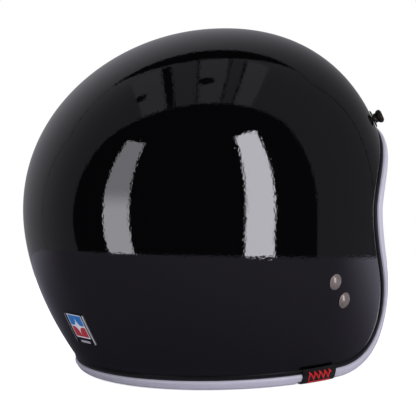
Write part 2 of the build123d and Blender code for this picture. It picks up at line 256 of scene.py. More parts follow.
def lacquer_links(tree):
    """Orange peel of 1.6 mm in the clear coat, and a haze of fine polishing marks."""
    place = add(tree, "TexCoord", out="Object")
    peel = add(tree, "TexNoise", {"Scale": 620.0, "Detail": 1.0, "Vector": place})
    haze = add(tree, "TexNoise", {"Scale": 26.0, "Detail": 6.0, "Vector": place})
    rough = add(tree, "MapRange", {"To Min": 0.035, "To Max": 0.075, "Value": haze})
    bump = add(tree, "Bump", {"Strength": 0.15, "Distance": 0.0002, "Height": peel})
    return {"Roughness": rough, "Coat Normal": bump}


# Polyurethane lacquer under clear coat: near black, with mirror-sharp reflections
lacquer_values = {"Base Color": linear(lacquer_colour), "Specular IOR Level": 0.0}
lacquer_values |= {"Coat Weight": 1.0, "Coat Roughness": 0.02, "Coat IOR": 2.4}
lacquer = finish("Black_gloss_lacquer", lacquer_values, lacquer_links)
pole = unit(np.array([0, np.sin(np.radians(40)), np.cos(np.radians(40))]))
edge_way = unit(rim + rim_out * shell_in_trim - shell_middle)
edge_angle = np.arccos(edge_way @ pole)
edge_side = unit(edge_way - pole * (edge_way @ pole)[:, None])


def shell_points(inset, shares):
    """Rays fan out from a pole that leans back 40 degrees, each down to its point of the
    edge, and the shares part their angles."""
    angle = np.asarray(shares)[:, None] * edge_angle
    ways = pole * np.cos(angle)[..., None] + edge_side * np.sin(angle)[..., None]
    return on_form(ways, inset)


shares = np.linspace(0.006, 1, 150)
shell_rows = np.vstack([shell_points(0, shares), shell_points(shell_wall, shares[::-3])])
shell = surface("shell", shell_rows, lacquer)
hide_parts("outer_shell")
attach(shell, "helmet")

# Trim: an extruded rubber channel, pushed over the shell's edge and glued, with a silver
# covered bead round its lower half. The channel shows as a black line between the gloss
# shell and the silver.
channel_reach, channel_height, channel_depth = 7.9 * mm, 5.9 * mm, 2 * mm
band_start, band_end = 3.2 * mm, 10.4 * mm
band_depth, band_half_depth = 1.5 * mm, 4.5 * mm
rubber_colour = "#141416"
silver_colour = "#DAD9E4"


def superellipse(count, power):
    """Cosine and sine, each raised to two over the power: a circle that fills its square."""
    turn = np.arange(count) * 2 * np.pi / count
    bend = 2 / power
    across, up = np.cos(turn), np.sin(turn)
    return np.sign(across) * np.abs(across) ** bend, np.sign(up) * np.abs(up) ** bend


def fine_grain(scale, strength, distance, low, high):
    """Links of a fine even grain: bump from noise, and a little of it in the roughness,
    which runs from low to high."""

    def links(tree):
        place = add(tree, "TexCoord", out="Object")
        grain = add(tree, "TexNoise", {"Scale": scale, "Detail": 3.0, "Vector": place})
        bump = add(tree, "Bump", {"Strength": strength, "Distance": distance, "Height": grain})
        rough = add(tree, "MapRange", {"To Min": low, "To Max": high, "Value": grain})
        return {"Roughness": rough, "Normal": bump}

    return links


# Extruded rubber, satin, with a faint drag grain
rubber = finish(
    "Extruded_rubber",
    {"Base Color": linear(rubber_colour), "Specular IOR Level": 0.45},
    fine_grain(1400.0, 0.25, 0.0001, 0.34, 0.5),
)
# Metallised vinyl skin on the bead: pale silver, satin, finely pebbled
silver_values = {"Base Color": linear(silver_colour), "Metallic": 0.2}
silver_values |= {"Coat Weight": 0.15, "Coat Roughness": 0.3}
silver = finish("Metallised_vinyl", silver_values, fine_grain(1700.0, 0.3, 0.00012, 0.42, 0.55))
across, up = superellipse(40, 5)
out = channel_reach / 2 * (1 + across)
channel = surface(
    "trim_channel",
    beside_rim(out, channel_depth + channel_height / 2 * up),
    rubber,
    closed=(True, True),
    poles=False,
)
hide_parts("edge_channel")
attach(channel, "helmet")

across, up = superellipse(48, 3.2)
tab_low, tab_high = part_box("side_tab")
under_tab = (rim[:, 0] < -0.05) & (rim[:, 2] < 0.02)
under_tab &= (rim[:, 1] > tab_low.y - 0.5 * mm) & (rim[:, 1] < tab_high.y + 0.5 * mm)
thin = np.where(under_tab, 1.0, 0.0)
band_half = (band_end - band_start) / 2 - 0.5 * mm * thin
out = band_start + band_half[:, None] * (1 + across)
band = surface(
    "trim_band",
    beside_rim(out, band_depth + (band_half_depth - 0.1 * mm * thin)[:, None] * up),
    silver,
    closed=(True, True),
    poles=False,
)
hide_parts("edge_band")
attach(band, "helmet")

# Tab: a short length of woven ribbon, folded round the trim and glued under the rim
tab_wall = 0.8 * mm
ribbon_colour, ribbon_mark_colour = "#060607", "#E8141C"
zigzag_slant, zigzag_half_wave, zigzag_rise = 0.35, 2.1 * mm, 2.4
zigzag_top, zigzag_half_stroke = 2.9 * mm, 1.25 * mm
bar_middle, bar_half_height, marks_half_width = 9.9 * mm, 0.6 * mm, 9.5 * mm


def woven(tree, warp, weft, depth):
    """A plain weave on the piece's map: the product of two sines, one across each row of
    threads. Gives the map's two ways, the weave's height and its normal."""
    along = add(tree, "SeparateXYZ", (add(tree, "UVMap", uv_map="UVMap"),))
    down = along.node.outputs["Y"]
    rows = []
    for run, thread_width in ((along, weft), (down, warp)):
        turned = add(tree, "Math", (run, np.pi / thread_width), operation="MULTIPLY")
        rows.append(add(tree, "Math", (turned,), operation="SINE"))
    height = add(tree, "Math", rows, operation="MULTIPLY")
    bump = add(tree, "Bump", {"Strength": 0.9, "Distance": depth, "Height": height})
    return along, down, height, bump


def ribbon_links(tree):
    """A bold red zigzag, 6 mm high, over a red bar, both woven in the middle of a black
    ribbon. The pattern is plain and says nothing."""
    along, down, _, normal = woven(tree, 0.5 * mm, 0.5 * mm, 0.0002)
    slanted = add(tree, "Math", (down, zigzag_slant, along), operation="MULTIPLY_ADD")
    folded = add(tree, "Math", (slanted, zigzag_half_wave), operation="PINGPONG")
    stroke = add(tree, "Math", (folded, zigzag_rise), operation="MULTIPLY")
    level = add(tree, "Math", (down, stroke), operation="SUBTRACT")
    zigzag = add(tree, "Math", (level, zigzag_top, zigzag_half_stroke), operation="COMPARE")
    bar = add(tree, "Math", (down, bar_middle, bar_half_height), operation="COMPARE")
    tab_middle = float(rim_run[under_tab].mean())
    middle = add(tree, "Math", (along, tab_middle, marks_half_width), operation="COMPARE")
    marks = add(tree, "Math", (zigzag, bar), operation="MAXIMUM")
    share = add(tree, "Math", (marks, middle), operation="MULTIPLY")
    yarns = {0: share, 6: linear(ribbon_colour), 7: linear(ribbon_mark_colour)}
    return {"Base Color": add(tree, "Mix", yarns, 2, data_type="RGBA"), "Normal": normal}


# Woven polyester label ribbon: matt, with a fine visible thread
ribbon_values = {"Roughness": 0.8, "Sheen Weight": 0.1, "Specular IOR Level": 0.3}
ribbon = finish("Woven_polyester_ribbon", ribbon_values, ribbon_links)
# The ribbon's line round the trim: towards the opening, and in from the shell's surface
tab_stops = [(0, -1.6), (2.2, -2.1), (3.4, -3.3), (4.6, -3.5), (9.2, -3.5), (9.9, -2.8)]
tab_stops = np.array(tab_stops + [(10, -1), (10, 5.4)])
tab_run = np.concatenate([[0], np.cumsum(np.hypot(*np.diff(tab_stops, axis=0).T))])
tab_steps = np.linspace(0, tab_run[-1], 60)
tab_line = np.stack([np.interp(tab_steps, tab_run, tab_stops[:, k]) for k in range(2)], -1) * mm
tab_line[1:-1] = (tab_line[:-2] + 2 * tab_line[1:-1] + tab_line[2:]) / 4
tab_along = unit(np.gradient(tab_line, axis=0))
tab_face = np.stack([tab_along[:, 1], -tab_along[:, 0]], -1)
tab_where = np.flatnonzero(under_tab)[1:-1]
tab_layers = []
for height in (0.5, -0.5):
    spot = tab_line + tab_face * height * tab_wall
    tab_layers.append(beside_rim(spot[:, 0], spot[:, 1], tab_where))
tab_rows = np.concatenate([tab_layers[0], tab_layers[1][:, ::-1]], 1)
tab_map = np.concatenate([tab_steps, tab_steps[::-1]]) * mm
tab = surface("side_ribbon_tab", tab_rows, ribbon, u=rim_run[tab_where], v=tab_map, sharp=40)
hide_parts("side_tab")
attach(tab, "helmet")

# Strap rivets: domed semi-tubular rivets of nickel-plated brass. Their shanks go through
# the shell, the webbing and a steel plate, and are spread over it inside.
rivet_radius, rivet_height = 5.5, 3.05
rivet_places = ((-15.0, -41.2), (-25.5, -55.3))
nickel_colour = "#B5AAA4"


def side_place(y, z, side):
    """A place on the form's side: its point and its outward way."""
    point = shell_middle + np.array([side * side_x(y, z), y, z])
    return point, form_normal(point)


def rounded(corners, reaches, steps):
    """A line whose corners are rounded by quadratic curves. Each reaches its length along
    both sides, or half the side if that is less."""
    corners = np.array(corners, float)
    line = [corners[:1]]
    share = np.linspace(0, 1, steps)[:, None]
    for before, corner, after, reach in zip(corners, corners[1:], corners[2:], reaches):
        start = corner + unit(before - corner) * min(reach, np.linalg.norm(before - corner) / 2)
        end = corner + unit(after - corner) * min(reach, np.linalg.norm(after - corner) / 2)
        line.append((1 - share) ** 2 * start + 2 * share * (1 - share) * corner + share**2 * end)
    return np.vstack([*line, corners[-1:]])


def lathe(corners, rounding, places, turns=64):
    """A turned piece at each place: its corners (radius, height), in millimetres, rounded
    and carried round the way that the place faces."""
    line = rounded(corners, [rounding] * len(corners), 6) * mm
    turn = np.arange(turns) * 2 * np.pi / turns
    grids = []
    for point, way in places:
        side = unit(np.cross(way, [0.0, 1.0, 0.0]))
        other = np.cross(way, side)
        spoke = np.cos(turn)[:, None] * side + np.sin(turn)[:, None] * other
        grids.append(point + line[:, :1, None] * spoke + line[:, 1:, None] * way)
    return np.array(grids)


def worn_metal(base, dark, scale):
    """Links of a plated metal: tone and polish vary in soft clouds, with fine scratches."""

    def links(tree):
        place = add(tree, "TexCoord", out="Object")
        cloud = add(tree, "TexNoise", {"Scale": scale, "Detail": 5.0, "Vector": place})
        fine = add(tree, "TexNoise", {"Scale": scale * 9, "Detail": 2.0, "Vector": place})
        share = add(tree, "MapRange", {"From Min": 0.35, "From Max": 0.75, "Value": cloud})
        tones = {0: share, 6: linear(base), 7: linear(dark)}
        colour = add(tree, "Mix", tones, 2, data_type="RGBA")
        rough = add(tree, "MapRange", {"To Min": 0.2, "To Max": 0.4, "Value": cloud})
        bump = add(tree, "Bump", {"Strength": 0.25, "Distance": 0.00008, "Height": fine})
        return {"Base Color": colour, "Roughness": rough, "Normal": bump}

    return links


# Nickel plate over brass, tumbled: warm grey, softly polished
nickel_links = worn_metal(nickel_colour, "#968C86", 300.0)
nickel = finish("Nickel_plated_brass", {"Metallic": 0.6}, nickel_links)
dome_turn = np.radians(np.linspace(0, 62, 14))[1:]
dome_radius, dome_flatness = 5.75, 0.85
dome_drop = dome_flatness * dome_radius * (1 - np.cos(dome_turn))
rivet_corners = [
    (0.02, rivet_height),
    *zip(dome_radius * np.sin(dome_turn), rivet_height - dome_drop),
    (rivet_radius, 0.4),
    (rivet_radius - 0.1, 0.15),
    (3.2, 0.1),
    (2.4, -0.1),
    (2.4, -9.6),
]
for name, side in (("right", -1), ("left", 1)):
    places = [side_place(y * mm, z * mm, side) for y, z in rivet_places]
    rivets = surface("rivet_pair_" + name, lathe(rivet_corners, 0.25, places), nickel, sharp=35)
    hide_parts("strap_rivets_" + name)
    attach(rivets, "helmet")

# Visor snaps: three male snap studs of black-nickelled brass on the brow. Each has a
# dished washer under it and a post that is spread over an eyelet inside the shell.
snap_turns = np.radians([0.0, -36.0, 36.0])
snap_heights = np.array([68.0, 58.0, 58.0]) * mm
black_nickel_colour, bronze_colour = "#3A3735", "#5B534D"
# Black nickel over brass: nearly black, and warm where handling has worn it
black_nickel_links = worn_metal(black_nickel_colour, bronze_colour, 420.0)
black_nickel = finish("Black_nickelled_brass", {"Metallic": 0.85}, black_nickel_links)
snap_lift = (snap_heights / shell_dome) ** fullness
snap_share = (1 - snap_lift) ** (1 / fullness)
snap_points = shell_middle + np.stack(
    [
        shell_half_width * snap_share * np.sin(snap_turns),
        -crown_forward * snap_lift - shell_half_length * snap_share * np.cos(snap_turns),
        snap_heights,
    ],
    -1,
)
snap_places = list(zip(snap_points, form_normal(snap_points)))
washer_corners = [(1.9, 0.2), (6.4, 0.15), (6.5, 0.45), (5.4, 1.15), (4.6, 1.2), (4.1, 0.95)]
washer_corners += [(1.9, 0.95)]
washers = surface(
    "snap_dished_washers",
    lathe(washer_corners, 0.3, snap_places),
    black_nickel,
    closed=(True, True),
    poles=False,
)
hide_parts("snap_washers")
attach(washers, "helmet")
stud_corners = [(0.02, 6.9), (1.6, 6.9), (2.3, 7.45), (3.2, 7.45), (4.7, 6.3), (4.7, 5.0)]
stud_corners += [(4.35, 4.0), (3.35, 3.2), (3.35, 1.9), (3.7, 1.35), (1.8, 1.3), (1.8, -5.2)]
studs = surface("snap_stud_row", lathe(stud_corners, 0.55, snap_places), black_nickel, sharp=60)
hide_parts("snap_studs")
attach(studs, "helmet")

# Fixings between the shell and the foam: pressed steel plates and eyelets, zinc plated


def dress(material, *nodes):
    """Gives the CAD nodes' own meshes a finished material."""
    for node in nodes:
        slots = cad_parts[node].data.materials
        slots.clear()
        slots.append(material)


# Bright zinc: pale grey, with cloudy spangles from the bath
zinc = finish("Zinc_plated_steel", {"Metallic": 1.0}, worn_metal("#B4B4B0", "#8E908F", 150.0))
dress(zinc, "strap_anchor_right", "strap_anchor_left", "snap_eyelets")

# Nape plate: a thin pressed metal plate with a printed, lacquered panel and a plain star
# inside its raised border, bent to the shell and stuck on
plate_half_width, plate_half_height, plate_height = 10.5, 12.75, -71.6
plate_taper = rear_taper * (-plate_height * mm / taper_depth) ** rear_bend
plate_rear = shell_middle + np.array([0, shell_half_length * (1 - plate_taper), plate_height * mm])
plate_face = form_normal(plate_rear)
plate_up = unit(np.cross(plate_face, [-1.0, 0.0, 0.0]))
plate_up = plate_up * np.sign(plate_up[2])
# Rows from the middle out: share of the plate's size, and height over the shell
plate_rows = np.array(
    [(0.02, 0.42), (0.3, 0.42), (0.6, 0.42), (0.88, 0.42), (0.9, 0.45), (0.915, 0.66), (0.93, 0.72)]
    + [(0.975, 0.72), (0.992, 0.66), (1.0, 0.5), (1.0, 0.16)]
)
across, up = superellipse(96, 14)
plate_x = plate_rows[:, :1] * plate_half_width * across
plate_z = plate_rows[:, :1] * plate_half_height * up
plate_spots = plate_rear + plate_x[..., None] * mm * np.array([-1.0, 0, 0])
plate_spots = plate_spots + plate_z[..., None] * mm * plate_up
plate_points = on_form(unit(plate_spots - shell_middle)) + plate_rows[:, 1:, None] * mm * plate_face


def plate_links(tree):
    """Print inside a bright border: a black field, and on it a panel, blue above and red
    below, with a white line round it and a white four-pointed star. Star: roots of its
    shares across and up that add to less than one. A bare bar lies below the panel."""
    place = add(tree, "TexCoord", out="Object")
    spot = {"Location": tuple(plate_rear), "Vector": place}
    across = add(tree, "SeparateXYZ", (add(tree, "Mapping", spot, vector_type="TEXTURE"),))
    side = add(tree, "Math", (across,), operation="ABSOLUTE")
    up = across.node.outputs["Z"]

    def within(half_width, middle, half_height):
        """One inside an upright rectangle in the middle of the plate's width, else zero."""
        in_width = add(tree, "Math", (side, half_width * mm), operation="LESS_THAN")
        in_height = add(tree, "Math", (up, middle * mm, half_height * mm), operation="COMPARE")
        return add(tree, "Math", (in_width, in_height), operation="MULTIPLY")

    raised = add(tree, "Math", (up, -2.2 * mm), operation="ADD")
    reach = add(tree, "Math", (raised,), operation="ABSOLUTE")
    roots = []
    for away, ray_length in ((side, 6.4 * mm), (reach, 7.6 * mm)):
        share = add(tree, "Math", (away, ray_length), operation="DIVIDE")
        roots.append(add(tree, "Math", (share,), operation="SQRT"))
    star = add(tree, "Math", roots, operation="ADD")
    star = add(tree, "Math", (star, 1.0), operation="LESS_THAN")
    field = within(plate_half_width * 0.93, 0, plate_half_height * 0.94)
    bar = within(5.2, -9.3, 0.9)
    # Layers over the bare metal, each rectangle by half width, middle and half height
    colour = (0.75, 0.77, 0.8, 1)
    for share, layer in (
        (field, "#08080A"),
        (within(8.0, 2.2, 8.6), "#E9EDF3"),
        (within(7.2, 6.4, 3.6), "#2C7FCC"),
        (within(7.2, -1.9, 3.6), "#C63A42"),
        (star, "#F2F4F8"),
        (bar, "#C9CAD2"),
    ):
        layers = {0: share, 6: colour, 7: linear(layer)}
        colour = add(tree, "Mix", layers, 2, data_type="RGBA")
    border = add(tree, "Math", (1.0, field), operation="SUBTRACT")
    bare = add(tree, "Math", (border, bar), operation="MAXIMUM")
    metallic = add(tree, "Math", (bare, 0.25), operation="MULTIPLY")
    return {"Base Color": colour, "Metallic": metallic}


# Printed enamel on aluminium: flat colours under a hard clear lacquer, bright bare border
enamel = finish("Printed_aluminium_plate", {"Roughness": 0.28, "Coat Weight": 0.4}, plate_links)
plate = surface("nape_plate", plate_points, enamel, sharp=40)
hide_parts("rear_badge")
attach(plate, "helmet")

# Liner: a ring of expanded foam beads with a softer crown insert, pressed into the shell


def bead_links(tree):
    """Cells of 4 mm, the size of the fused beads, with dark lines where they meet."""
    place = add(tree, "TexCoord", out="Object")
    cells = add(
        tree, "TexVoronoi", {"Scale": 250.0, "Vector": place}, feature="DISTANCE_TO_EDGE"
    )
    share = add(tree, "MapRange", {"From Max": 0.12, "Value": cells})
    tones = {0: share, 6: linear("#141415"), 7: linear("#2B2B2D")}
    bump = add(tree, "Bump", {"Strength": 0.6, "Distance": 0.0005, "Height": share})
    return {"Base Color": add(tree, "Mix", tones, 2, data_type="RGBA"), "Normal": bump}


# Expanded polystyrene, dyed black: matt, with its beads drawn by fine lines
bead_foam = finish("Expanded_polystyrene", {"Roughness": 0.8}, bead_links)
dress(bead_foam, "foam_liner", "foam_crown")

# Comfort lining: open-cell foam under black knitted cloth, in sewn pieces that are glued
# into the liner: a quilted dome at the crown, a padded band round the head, and a thin
# lining at the sides and nape
lining_depth = 27.6 * mm
crown_wall, head_wall, side_wall = 6.7 * mm, 8.7 * mm, 2.0 * mm
lining_slope = 0.29
# Heights of the sewn edges at the middle, on lines that slant up towards the brow
crown_foot, head_top_height, head_foot_height, side_top_height = 51.5, 50.7, 17.3, 16.4
side_foot_depth = 92.5 * mm
# The darker cloth colour is painted shade in the knit's pits and the dark end of its random mottle
cloth_colour, cloth_shade_and_mottle_colour = "#4A4A50", "#1E1E21"


def knit_links(tree):
    """Mesh knit: pits 1.3 mm apart between raised loops, darkened as painted shade, over a softly
    mottled cloth.
    """
    place = add(tree, "TexCoord", out="Object")
    loops = add(tree, "TexVoronoi", {"Scale": 760.0, "Randomness": 0.25, "Vector": place})
    mottle = add(tree, "TexNoise", {"Scale": 60.0, "Detail": 4.0, "Vector": place})
    share = add(tree, "MapRange", {"From Min": 0.15, "From Max": 0.55, "Value": loops})
    mixed = add(tree, "Math", (mottle, 0.6, share), operation="MULTIPLY_ADD")
    tone = add(tree, "MapRange", {"From Max": 1.4, "Value": mixed})
    # Pits and low mottle take the darker colour: painted shade in the pits, random tone in the
    # mottle
    tones = {0: tone, 6: linear(cloth_shade_and_mottle_colour), 7: linear(cloth_colour)}
    bump = add(tree, "Bump", {"Strength": 0.7, "Distance": 0.0004, "Height": share})
    return {"Base Color": add(tree, "Mix", tones, 2, data_type="RGBA"), "Normal": bump}


# Polyester mesh knit: matt black, with a pale sheen at a low angle
knit_values = {"Roughness": 0.9, "Sheen Weight": 0.35, "Sheen Roughness": 0.5}
knit = finish("Polyester_mesh_knit", knit_values, knit_links)


def fan(turn, angle):
    """Directions at turns round the upright axis from the brow, and angles down from it."""
    flat = np.stack([np.sin(turn), -np.cos(turn), 0 * turn], -1)
    return flat * np.sin(angle)[..., None] + np.array([0, 0, 1]) * np.cos(angle)[..., None]


def angle_down_to(turn, drop):
    """The angle down from the upright axis at which drop, a measure of the points met at
    the lining's depth, falls to zero, found by halving."""
    high, low = np.zeros_like(turn), np.full_like(turn, 2.5)
    for _ in range(30):
        half = (high + low) / 2
        above = drop(on_form(fan(turn, half), lining_depth) - shell_middle) > 0
        high, low = np.where(above, half, high), np.where(above, low, half)
    return low


def above_slope(height):
    """Height over the headband's slanting line, which rises towards the brow."""
    return lambda spot: spot[..., 2] + lining_slope * spot[..., 1] - height * mm


def groove(turn, count, width):
    """Share of sewn channels: a bell curve at each of count evenly spaced turns."""
    away = (turn * count / (2 * np.pi) + 0.5) % 1 - 0.5
    return np.exp(-((away * 2 * np.pi / count / width) ** 2))


turn = np.arange(300) * 2 * np.pi / 300
crown_edge = angle_down_to(turn, above_slope(crown_foot))
share_out = np.concatenate([np.linspace(0.02, 0.97, 40), np.linspace(0.975, 1, 8)])
share_rows = np.concatenate([share_out, share_out[::-1]])[:, None]
fullness_rows = np.concatenate([0 * share_out, (1 - share_out[::-1] ** 14) ** 0.5])[:, None]
petals = groove(turn, 6, 0.05) * np.clip((share_rows - 0.3) * 8, 0, 1)
ring_seam = np.exp(-(((share_rows - 0.3) / 0.025) ** 2))
swell = 1 - 0.45 * np.maximum(petals, ring_seam) - 0.12 * share_rows**2
crown_depth = lining_depth + crown_wall * fullness_rows * swell
crown_points = on_form(fan(turn + 0 * share_rows, crown_edge * share_rows), crown_depth)
crown_pad = surface("crown_lining", crown_points, knit, sharp=180)
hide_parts("crown_pad")
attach(crown_pad, "helmet")

brow_rows = np.arange(-100, 101)
brow_spots = beside_rim(np.array([-8.8 * mm]), np.array([lining_depth]), brow_rows)[:, 0]
brow_spots = brow_spots - shell_middle
brow_turn = np.arctan2(brow_spots[:, 0], -brow_spots[:, 1])
brow_angle = np.arccos(unit(brow_spots)[:, 2])
order = np.argsort(brow_turn)
turn_signed = (turn + np.pi) % (2 * np.pi) - np.pi
brow_limit = np.interp(turn_signed, brow_turn[order], brow_angle[order], left=3, right=3)
head_top = angle_down_to(turn, above_slope(head_top_height))
head_foot = angle_down_to(turn, above_slope(head_foot_height))
head_foot = np.minimum(head_foot, np.maximum(brow_limit, head_top + 0.03))
across, up = superellipse(44, 3.2)
down_share = (0.5 + 0.5 * across)[:, None]
quilt = 1 - 0.4 * groove(turn, 16, 0.03)
quilt = np.where(up[:, None] > 0, quilt, 1)
head_depth = lining_depth + head_wall * ((1 + up[:, None]) / 2) * quilt
head_angle = head_top + (head_foot - head_top) * down_share
head_points = on_form(fan(turn + 0 * down_share, head_angle), head_depth)
headband = surface(
    "headband_padded", head_points, knit, closed=(True, True), poles=False, sharp=180
)
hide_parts("headband")
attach(headband, "helmet")

side_turn = np.radians(np.linspace(70, 290, 200))
side_top = angle_down_to(side_turn, above_slope(side_top_height))
side_foot = angle_down_to(side_turn, lambda spot: spot[..., 2] + side_foot_depth)
across, up = superellipse(90, 8)
side_share = 0.5 - 0.5 * across
side_angle = side_top[:, None] + (side_foot - side_top)[:, None] * side_share
diamonds = groove(side_turn[:, None] + side_share * 0.9, 30, 0.018)
diamonds = np.maximum(diamonds, groove(side_turn[:, None] - side_share * 0.9, 30, 0.018))
side_depth = lining_depth + side_wall * (1 + up) / 2 * (1 - 0.5 * diamonds * (up > 0.3))
side_points = on_form(fan(side_turn[:, None] + 0 * side_angle, side_angle), side_depth)
side_lining = surface("side_lining_quilted", side_points, knit, sharp=180)
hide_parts("side_lining")
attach(side_lining, "helmet")

# Edge rolls: foam wrapped in black leatherette, which finish the lining round the face
# and the neck and hide the foam liner's edge. A sewn seam runs along the middle.
roll_low, roll_high = -7.6 * mm, -2.6 * mm
roll_inset, cheek_roll_inset = 6.6 * mm, 9 * mm
face_roll_depth, neck_roll_depth, cheek_roll_depth = 36 * mm, 31 * mm, 31 * mm
face_roll_foot, cheek_back_edge = -3.7 * mm, 20.4 * mm
# The paler leatherette colour is a painted highlight on the grain's tops
leather_colour, leather_painted_highlight_colour = "#232325", "#3B3B3E"


def leather_links(tree):
    """Embossed pebble grain of 0.9 mm with soft creases: a painted highlight on its tops, painted
    shade in its hollows and creases.
    """
    place = add(tree, "TexCoord", out="Object")
    pebbles = add(tree, "TexVoronoi", {"Scale": 1100.0, "Vector": place}, feature="SMOOTH_F1")
    creases = add(tree, "TexNoise", {"Scale": 90.0, "Detail": 6.0, "Vector": place})
    height = add(tree, "Math", (pebbles, -0.8, creases), operation="MULTIPLY_ADD")
    # Colour follows height: tops lighter as painted highlight, hollows and creases darker as
    # painted shade
    tones = {0: height, 6: linear(leather_colour), 7: linear(leather_painted_highlight_colour)}
    colour = add(tree, "Mix", tones, 2, data_type="RGBA")
    rough = add(tree, "MapRange", {"To Min": 0.42, "To Max": 0.62, "Value": creases})
    bump = add(tree, "Bump", {"Strength": 0.5, "Distance": 0.0003, "Height": height})
    return {"Base Color": colour, "Roughness": rough, "Normal": bump}


# Vinyl leatherette, embossed with a pebble grain: black and satin, with a painted highlight on its
# tops
leatherette = finish("Vinyl_leatherette", {"Specular IOR Level": 0.4}, leather_links)


def roll(name, where, inset_from, inset_to):
    """A padded roll along part of the edge line: a superellipse section between the two
    depths, drawn to its middle near the ends by a quarter circle, with a seam groove."""
    across, up = superellipse(64, 3.4)
    run = np.arange(len(where)) * (rim_run[1] - rim_run[0])
    near = np.clip(np.minimum(run, run[-1] - run) / (5 * mm), 0, 1)
    size = np.sqrt(1 - (1 - near) ** 2) * 0.97 + 0.03
    seam = 1 - 0.22 * np.exp(-(((up - 0.25) / 0.05) ** 2)) * (across > 0.5)
    middle, half = (inset_from + inset_to) / 2, (inset_to - inset_from) / 2
    out = (roll_low + roll_high) / 2 + (roll_high - roll_low) / 2 * size[:, None] * across * seam
    deep = middle + half * size[:, None] * up
    made = surface(name, beside_rim(out, deep, where), leatherette, sharp=180)
    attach(made, "helmet")
    return made


rim_low = rim - shell_middle
half_count = len(rim) // 2
side_rows = np.arange(half_count + 1)
split = side_rows[rim_low[side_rows, 2] < face_roll_foot][0]
face_rows = np.arange(-split + 1, split)
face_roll = roll("face_edge_roll", face_rows, roll_inset, face_roll_depth)
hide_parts("face_roll")
cheek_end = side_rows[(rim_low[side_rows, 1] > cheek_back_edge) & (side_rows > split)][0]
neck_rows = np.arange(cheek_end + 1, len(rim) - cheek_end)
neck_edge = roll("neck_edge_roll", neck_rows, roll_inset, neck_roll_depth)
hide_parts("neck_roll")

# Neck roll: a firm padded bolster inside the nape, sewn to the edge roll below it
bolster_top, bolster_foot, bolster_wall = 62.6 * mm, 97.8 * mm, 12 * mm
neck_turn = np.radians(np.linspace(113, 247, 130))
neck_top = angle_down_to(neck_turn, lambda spot: spot[..., 2] + bolster_top)
neck_foot = angle_down_to(neck_turn, lambda spot: spot[..., 2] + bolster_foot)
across, up = superellipse(60, 2.6)
ends = np.clip(np.minimum(neck_turn - neck_turn[0], neck_turn[-1] - neck_turn) / 0.14, 0, 1)
ends = np.sqrt(1 - (1 - ends[:, None]) ** 2)
neck_angle = (neck_top + neck_foot)[:, None] / 2
neck_angle = neck_angle + (neck_foot - neck_top)[:, None] / 2 * across * ends
tucks = 1 - 0.16 * groove(neck_turn[:, None], 22, 0.022)
neck_depth = lining_depth + bolster_wall * (1 + up * ends * np.where(up > 0, tucks, 1)) / 2
neck_points = on_form(fan(neck_turn[:, None] + 0 * neck_angle, neck_angle), neck_depth)
neck_pad = surface("neck_bolster", neck_points, leatherette, sharp=180)
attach(neck_pad, "helmet")

# Cheek pads: crowned foam cushions with a knitted centre, a leatherette border and a
# piped seam between them, held to the liner at the sides
cheek_y, cheek_z = -21 * mm, -50 * mm
cheek_half_length, cheek_half_height, cheek_crown = 51 * mm, 45 * mm, 23.4 * mm
piping_radius = 1.3 * mm
seam_share = 0.7
turn_round = np.arange(160) * 2 * np.pi / 160
oval_reach = 1 / np.hypot(
    np.cos(turn_round) / cheek_half_length, np.sin(turn_round) / cheek_half_height
)
low_rows = side_rows[(rim_low[side_rows, 2] < 25 * mm)]
low_edge = beside_rim(np.array([-2.9 * mm]), np.array([0.0]), low_rows)[:, 0] - shell_middle
edge_y, edge_z = low_edge[:, 1] - cheek_y, low_edge[:, 2] - cheek_z
edge_turn = np.arctan2(edge_z, edge_y) % (2 * np.pi)
edge_reach = np.interp(turn_round, edge_turn, np.hypot(edge_y, edge_z), left=1, right=1)
cheek_reach = (oval_reach**-6 + edge_reach**-6) ** (-1 / 6)


def cheek_surface(share, front):
    """Half widths over the pad's outline, drawn in by share: at the back the liner's, and
    at the front a crowned oval, blended into the liner's by a soft minimum."""
    y = cheek_y + share * cheek_reach * np.cos(turn_round)
    z = cheek_z + share * cheek_reach * np.sin(turn_round)
    back = side_x(y, z, lining_depth)
    if not front:
        return y, z, back
    oval = np.hypot((y - cheek_y) / cheek_half_length, (z - cheek_z) / cheek_half_height)
    crown = side_x(cheek_y, cheek_z, lining_depth) - cheek_crown * np.sqrt(
        np.maximum(1 - oval**2.3, 0)
    )
    near, far = np.minimum(back - 0.4 * mm, crown), np.maximum(back - 0.4 * mm, crown)
    blended = near - 1.2 * mm * np.exp(-((far - near) / (3 * mm)))
    seam = 1.7 * mm * np.exp(-(((share - seam_share) / 0.035) ** 2))
    edge = np.sqrt(1 - share**10)
    return y, z, back + (blended + seam - back) * edge


